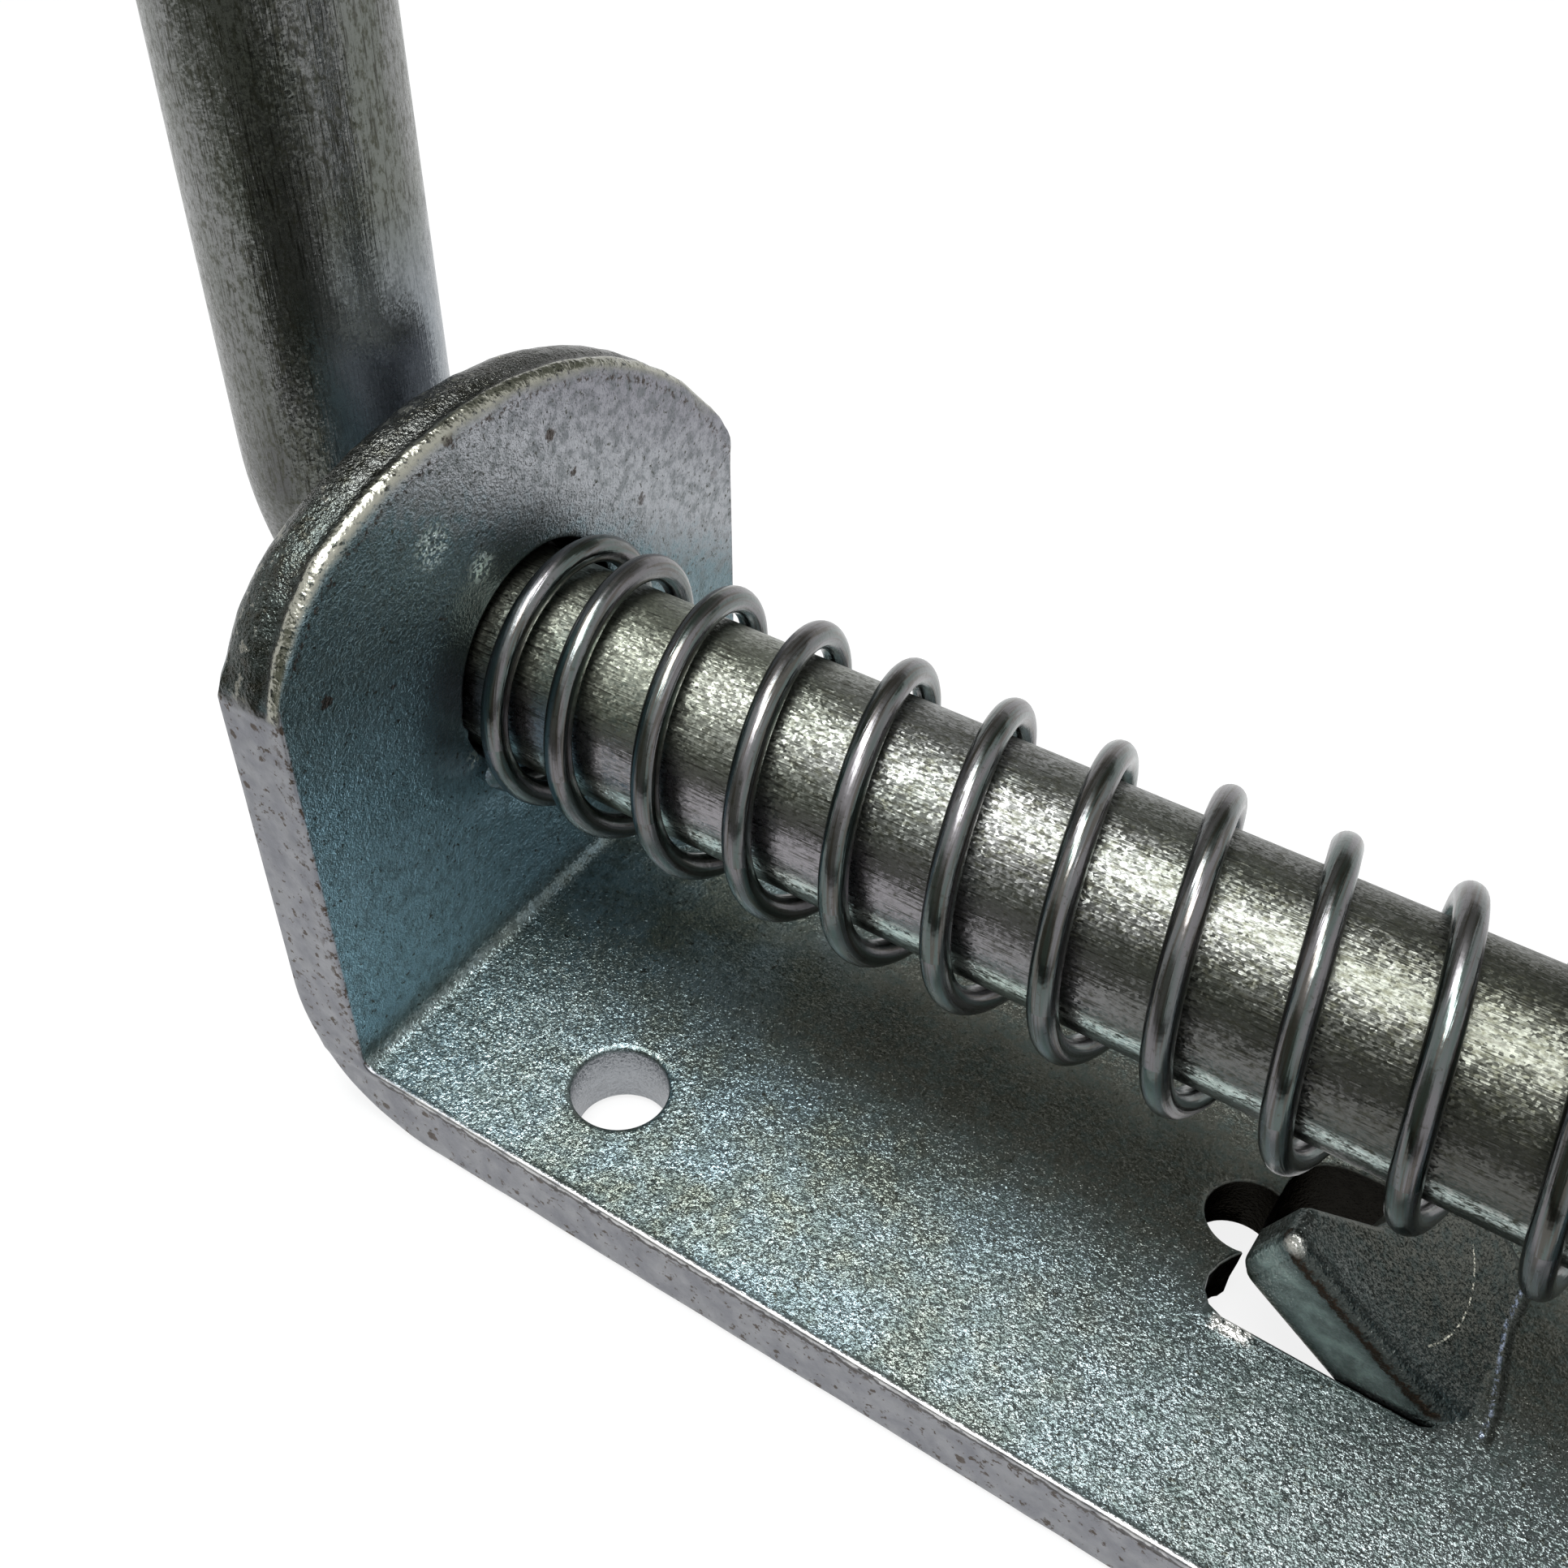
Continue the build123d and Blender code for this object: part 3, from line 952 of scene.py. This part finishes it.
def paint_marks(s):
    """The tongue's crease with a painted highlight and painted shade along it, a scratch over it, and
    painted highlights on the slot's smear and on the prong's corner.
    """
    from_crease = s.minus(s.x, s.ramp(s.y, -5.0, 1.5, crease + 0.95, crease - 0.3))
    at_crease = s.both(s.ramp(s.aside, tongue_side - 0.4, tongue_side - 0.8),
                       s.ramp(s.above_top, 1.4, 1.0))
    # Painted highlight: a broken bright line along the crease
    crease_highlight = s.both(at_crease, s.band(from_crease, -0.2, 0.22, 0.15), s.ramp(s.specks, 0.52, 0.44))
    s.paint(crease_highlight, (0.36, 0.42, 0.55))
    # Painted shade: a dark band in the crease beside its highlight
    s.paint(s.both(at_crease, s.band(from_crease, 0.15, 0.85, 0.2)), (0.05, 0.055, 0.05))

    up_tongue = s.math("DIVIDE", s.minus(crease, s.x), math.cos(tongue_angle))
    arc = s.distance(s.minus(up_tongue, 10.5), s.plus(s.y, 0.55))
    scratch = s.both(s.band(arc, 6.80, 6.98, 0.04), s.ramp(up_tongue, 5.6, 5.2), s.ramp(up_tongue, 2.5, 3.0),
                     s.ramp(s.under_top, 0.3, 0.2), s.ramp(s.noise(0.3, 1.0), 0.5, 0.46))
    s.paint(scratch, (0.85, 0.83, 0.70))

    # Painted highlight on the slot's smear, by its front end
    smear = s.both(s.band(s.x, slot_end + 0.2, slot_end + 3.4, 0.5),
                   s.band(s.y, -slot_side - 1.2, -slot_side + 0.3, 0.25),
                   s.ramp(s.above_top, -0.2, 0.0), s.ramp(s.specks, 0.62, 0.5))
    s.paint(smear, (0.75, 0.75, 0.72))
    # Painted highlight: a bright spot on the prong's top front corner
    prong = Vector((crease - 13.2, -tongue_side, thickness + 10.4)) * MM
    from_prong = s.vector("DISTANCE", {0: s.place, 1: prong}, "Value")
    s.paint(s.ramp(from_prong, 1.1 * MM, 0.3 * MM), (0.85, 0.85, 0.80))


def strap_material():
    """Zinc plate over hot-rolled strap: finely pitted faces, smooth sheared sides, darker rims."""
    s = strap_shader()
    for paint_part in (paint_faces, paint_sides, paint_holes, paint_rims, paint_tongue, paint_marks):
        paint_part(s)
    # Painted shade: reflections dimmed in the bores and the slot
    s.feed(s.metal.inputs["Specular Tint"], s.mix(s.in_hole, (1, 1, 1), (0.06, 0.06, 0.06)))
    burnished = s.both(s.either(s.on_rim, s.beaded), 0.12)
    rough = s.minus(s.ramp(s.blotches, 0.3, 0.7, 0.28, 0.46), burnished)

    pitted = s.both(s.fade(s.on_side, 1.0, 0.15), s.fade(s.beaded, 1.0, 0.2))
    deep = s.both(pitted, s.fade(s.either(s.at_ear, s.on_rim), 0.65, 1.0))
    battered = s.either(s.dented, s.both(s.on_rim, 0.6), s.both(pitted, 0.18))
    normal = s.bump(s.noise(0.28, 2.0, 0.65), 0.16, share=deep)
    normal = s.bump(s.noise(6.0, 1.0), 0.10, normal)
    normal = s.bump(s.noise(0.9, 2.0, 0.6), 0.28, normal, battered)
    glints = s.both(pitted, s.fade(s.in_hole, 1.0, 0.0), s.fade(s.at_ear, 0.36, 0.18))
    return s.finish(rough, s.glinting(glints, normal))


def bar_material():
    """Zinc plate over a drawn bar: mottled, with fine scratches along the bar and the handle, with painted
    shade towards its tip and painted reflections along the bar and on the handle.
    """
    s = Shader("drawn bar")
    above = s.minus(s.z, bar_height)
    on_handle = s.both(s.ramp(s.x, handle_place + bar_radius + 3, handle_place + bar_radius),
                       s.ramp(above, bar_radius, bar_radius + 6))
    in_ears = s.ramp(s.x, near_ear - 5, near_ear - 2)
    inwards = s.plus(s.minus(s.x, handle_place), s.both(s.y, 0.7))

    def along(size, detail, rough, stretch):
        """Noise drawn out along the bar, and upwards on the handle."""
        level = s.noise(size, detail, rough, stretch=(stretch, 1, 1))
        upright = s.noise(size, detail, rough, stretch=(1, 1, stretch))
        return s.add("ShaderNodeMix", {0: on_handle, 2: level, 3: upright}).outputs[0]

    mottle = along(0.42, 3.5, 0.75, 1.9)
    wide = along(4.0, 1.0, 0.55, 2.5)
    scratches = along(0.14, 1.5, 0.6, 20.0)
    s.tint = s.mix(s.ramp(wide, 0.40, 0.60), (0.155, 0.165, 0.15), (0.20, 0.205, 0.20))
    # Painted shade: the bar darkens towards its tip, dimming the lamp's highlight there
    s.paint(s.ramp(s.x, -18.0, 13.0, 0.0, 0.85), (0.07, 0.073, 0.06))
    pale = s.both(s.ramp(s.x, -26.0, -46.0), in_ears)
    s.paint(s.both(pale, 0.85), (0.29, 0.31, 0.255))
    at_bend = s.both(s.ramp(s.x, near_ear, near_ear - 6), s.ramp(above, 34.0, 14.0),
                     s.ramp(inwards, 0.0, -4.0), s.ramp(wide, 0.3, 0.5, 0.9, 0.5))
    s.paint(at_bend, (0.085, 0.085, 0.085))
    s.paint(s.both(s.ramp(mottle, 0.48, 0.62), s.fade(pale, 0.85, 0.6)), (0.06, 0.062, 0.045))
    # Painted reflection: a smooth lavender band round the bar's middle height
    reflected_band = s.both(s.band(above, -2.0, 4.5, 2.0), s.ramp(s.x, -2.0, -24.0, 0.15, 0.85), in_ears)
    s.paint(s.both(reflected_band, s.ramp(mottle, 0.58, 0.66, 1.0, 0.3)), (0.27, 0.255, 0.275))
    # Painted reflection: a thin bright line just below the bar's middle height
    reflected_line = s.both(s.band(above, -3.0, -0.8, 0.8), s.ramp(mottle, 0.60, 0.50), in_ears)
    s.paint(reflected_line, (0.92, 0.94, 0.90))
    s.paint(s.ramp(scratches, 0.57, 0.66, 0.0, 0.8), (0.05, 0.05, 0.042))
    # Painted reflection: a bluish patch low on the handle
    handle_reflection = s.both(on_handle, s.ramp(inwards, 0.0, 4.0), s.ramp(above, 34.0, 24.0), 0.8)
    s.paint(handle_reflection, (0.25, 0.28, 0.31))

    rough = s.minus(s.ramp(mottle, 0.3, 0.7, 0.28, 0.46), s.both(s.either(on_handle, reflected_band), 0.11))
    normal = s.bump(s.noise(3.0, 1.0), 0.08, s.bump(scratches, 0.025), s.fade(on_handle, 1.0, 0.5))
    glints = s.both(s.fade(on_handle, 0.30, 0.12), s.fade(reflected_band, 1.0, 0.35), s.fade(pale, 1.0, 0.75))
    return s.finish(rough, s.glinting(glints, normal, stretch=(1.5, 1, 1)))


def wire_material():
    """Bright plated spring wire, with drawn streaks that run round each turn."""
    s = Shader("bright wire")
    above = s.minus(s.z, bar_height)
    turn = s.math("ARCTAN2", above, s.y)
    unwound = s.minus(s.x, s.both(turn, active_pitch / (2 * math.pi)))
    unrolled = s.add("ShaderNodeCombineXYZ", {0: s.both(turn, coil_radius * MM), 1: s.both(unwound, MM),
                                              2: s.both(s.distance(s.y, above), MM)}).outputs[0]
    streaks = s.noise(0.22, 1.5, 0.6, stretch=(22, 1, 1), place=unrolled)
    bands = s.noise(0.6, 1.0, 0.5, stretch=(14, 1, 1), place=unrolled)
    s.tint = s.mix(s.ramp(bands, 0.40, 0.60), (0.095, 0.118, 0.112), (0.16, 0.155, 0.162))
    s.paint(s.ramp(streaks, 0.52, 0.62, 0.0, 0.75), (0.085, 0.075, 0.065))
    s.paint(s.ramp(s.noise(0.4, 2.0, 0.7), 0.60, 0.68, 0.0, 0.6), (0.07, 0.07, 0.058))
    normal = s.bump(streaks, 0.03, s.bump(s.noise(0.5, 1.0), 0.012))
    return s.finish(s.ramp(bands, 0.3, 0.7, 0.17, 0.30), normal)


def dress(piece, material):
    """Gives a piece its one material."""
    piece.data.materials.clear()
    piece.data.materials.append(material)


def make_camera():
    """The photo's camera, fitted to the strap's, bar's and tongue's sizes."""
    eye = Vector((75.129 + near_ear, -80.576, 117.128)) * MM
    right = Vector((0.8169, 0.5762, -0.0249))
    up = Vector((-0.3785, 0.5683, 0.7306))
    focal_pixels = 2282.3
    frame_pixels = 1932
    centre_pixels = (877.65, 973.92)
    data = bpy.data.cameras.new("camera")
    data.sensor_width = 36
    data.lens = data.sensor_width * focal_pixels / frame_pixels
    data.shift_x = (frame_pixels / 2 - centre_pixels[0]) / frame_pixels
    data.shift_y = (centre_pixels[1] - frame_pixels / 2) / frame_pixels
    data.clip_start = 0.005
    camera = new_object("camera", data)
    turn = Matrix((right, up, right.cross(up))).transposed().to_4x4()
    camera.matrix_world = Matrix.Translation(eye) @ turn
    bpy.context.scene.camera = camera


def make_softbox():
    """A soft rectangular lamp overhead, a little to the handle's side, in metres."""
    place = Vector((-0.05, -0.04, 0.45))
    target = Vector((0, 0, 0.02))
    data = bpy.data.lights.new("overhead", "AREA")
    data.shape = "RECTANGLE"
    data.size, data.size_y = 0.36, 0.18
    data.energy = 3.4
    lamp = new_object("overhead", data)
    lamp.location = place
    lamp.rotation_euler = (target - place).to_track_quat("-Z", "Y").to_euler()


def seen_rays(nodes):
    """One for the camera, glossy and transmission rays, which see the studio as white."""
    path = nodes.add("ShaderNodeLightPath").outputs
    return nodes.either(path["Is Camera Ray"], path["Is Glossy Ray"], path["Is Transmission Ray"])


def make_world():
    """A plain soft studio, which shows as white behind the object and in its metal."""
    world = bpy.data.worlds.new("studio")
    bpy.context.scene.world = world
    world.use_nodes = True
    nodes = Nodes(world.node_tree)
    soft = nodes.tree.nodes["Background"]
    nodes.feed(soft.inputs["Color"], (0.9, 0.95, 1.0))
    nodes.feed(soft.inputs["Strength"], 0.6)
    white = nodes.add("ShaderNodeBackground", {"Color": (1, 1, 1), "Strength": 1.0})
    inputs = {0: seen_rays(nodes), 1: soft.outputs[0], 2: white.outputs[0]}
    nodes.show(nodes.add("ShaderNodeMixShader", inputs), "World Output")


def stage_piece(name, points, faces):
    """A piece of the studio, in metres, and the nodes of its own material."""
    piece = mesh_object(name, points, faces)
    material = bpy.data.materials.new(name)
    material.use_nodes = True
    piece.data.materials.append(material)
    return piece, Nodes(material.node_tree)


def make_floor():
    """A plain pale floor, white to the camera and in the metal, with the object's soft shadow."""
    reach = 3.0
    corners = [(-reach, -reach, 0), (reach, -reach, 0), (reach, reach, 0), (-reach, reach, 0)]
    floor, nodes = stage_piece("floor", corners, [(0, 1, 2, 3)])
    floor.location.z = -0.0002
    paint = nodes.tree.nodes["Principled BSDF"]
    nodes.feed(paint.inputs["Base Color"], (0.8, 0.8, 0.8))
    nodes.feed(paint.inputs["Roughness"], 0.9)
    glow = nodes.add("ShaderNodeEmission", {"Color": (1, 1, 1), "Strength": 1.0})
    place = nodes.add("ShaderNodeTexCoord").outputs["Object"]
    away = nodes.vector("LENGTH", {0: place}, "Value")
    white_share = nodes.both(nodes.ramp(away, 0.2, 0.8, 0.85, 1.0), seen_rays(nodes))
    nodes.show(nodes.add("ShaderNodeMixShader", {0: white_share, 1: paint.outputs[0], 2: glow.outputs[0]}))


def make_flag(name, corners, bow, strength):
    """A dark card bowed between four corners, which only the metal shows, as a long dark band."""
    low_left, low_right, high_right, high_left = (Vector(c) for c in corners)
    rows = 16
    points = []
    for i in range(rows + 1):
        share = i / rows
        sag = Vector(bow) * math.sin(math.pi * share)
        points += [low_left.lerp(high_left, share) + sag, low_right.lerp(high_right, share) + sag]
    faces = [[2 * i, 2 * i + 1, 2 * i + 3, 2 * i + 2] for i in range(rows)]
    flag, nodes = stage_piece(name, points, faces)
    flag.visible_camera = False
    flag.visible_diffuse = False
    flag.visible_shadow = False
    nodes.show(nodes.add("ShaderNodeEmission", {"Color": (0.9, 0.95, 0.8), "Strength": strength}))


make_camera()
make_world()
make_floor()

# Flags: a level one before the handle, a leaning one before the strap and a tall one behind it
make_flag("handle flag", [(-0.089, -0.054, 0.020), (0.066, -0.032, 0.020), (0.066, -0.13, 0.020),
                          (-0.089, -0.13, 0.020)], (0, 0, 0), 0.05)
make_flag("front flag", [(-0.30, -0.15, 0.002), (0.08, -0.15, 0.002), (0.08, -0.25, 0.22),
                         (-0.30, -0.25, 0.22)], (0, -0.02, -0.01), 0.22)
make_flag("back flag", [(0.14, 0.32, 0.09), (-0.48, 0.0, 0.09), (-0.38, -0.05, 0.44),
                        (0.10, 0.20, 0.44)], (-0.02, 0.03, 0.0), 0.17)
make_softbox()

strap = strap_material()
bar = bar_material()
dress(make_bracket(), strap)
dress(make_bolt(), bar)
spring = make_spring()
dress(spring, wire_material())
dress(make_washer(), bar)
dress(make_pin(), bar)

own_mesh(spring)

bpy.context.scene.view_settings.view_transform = "Standard"
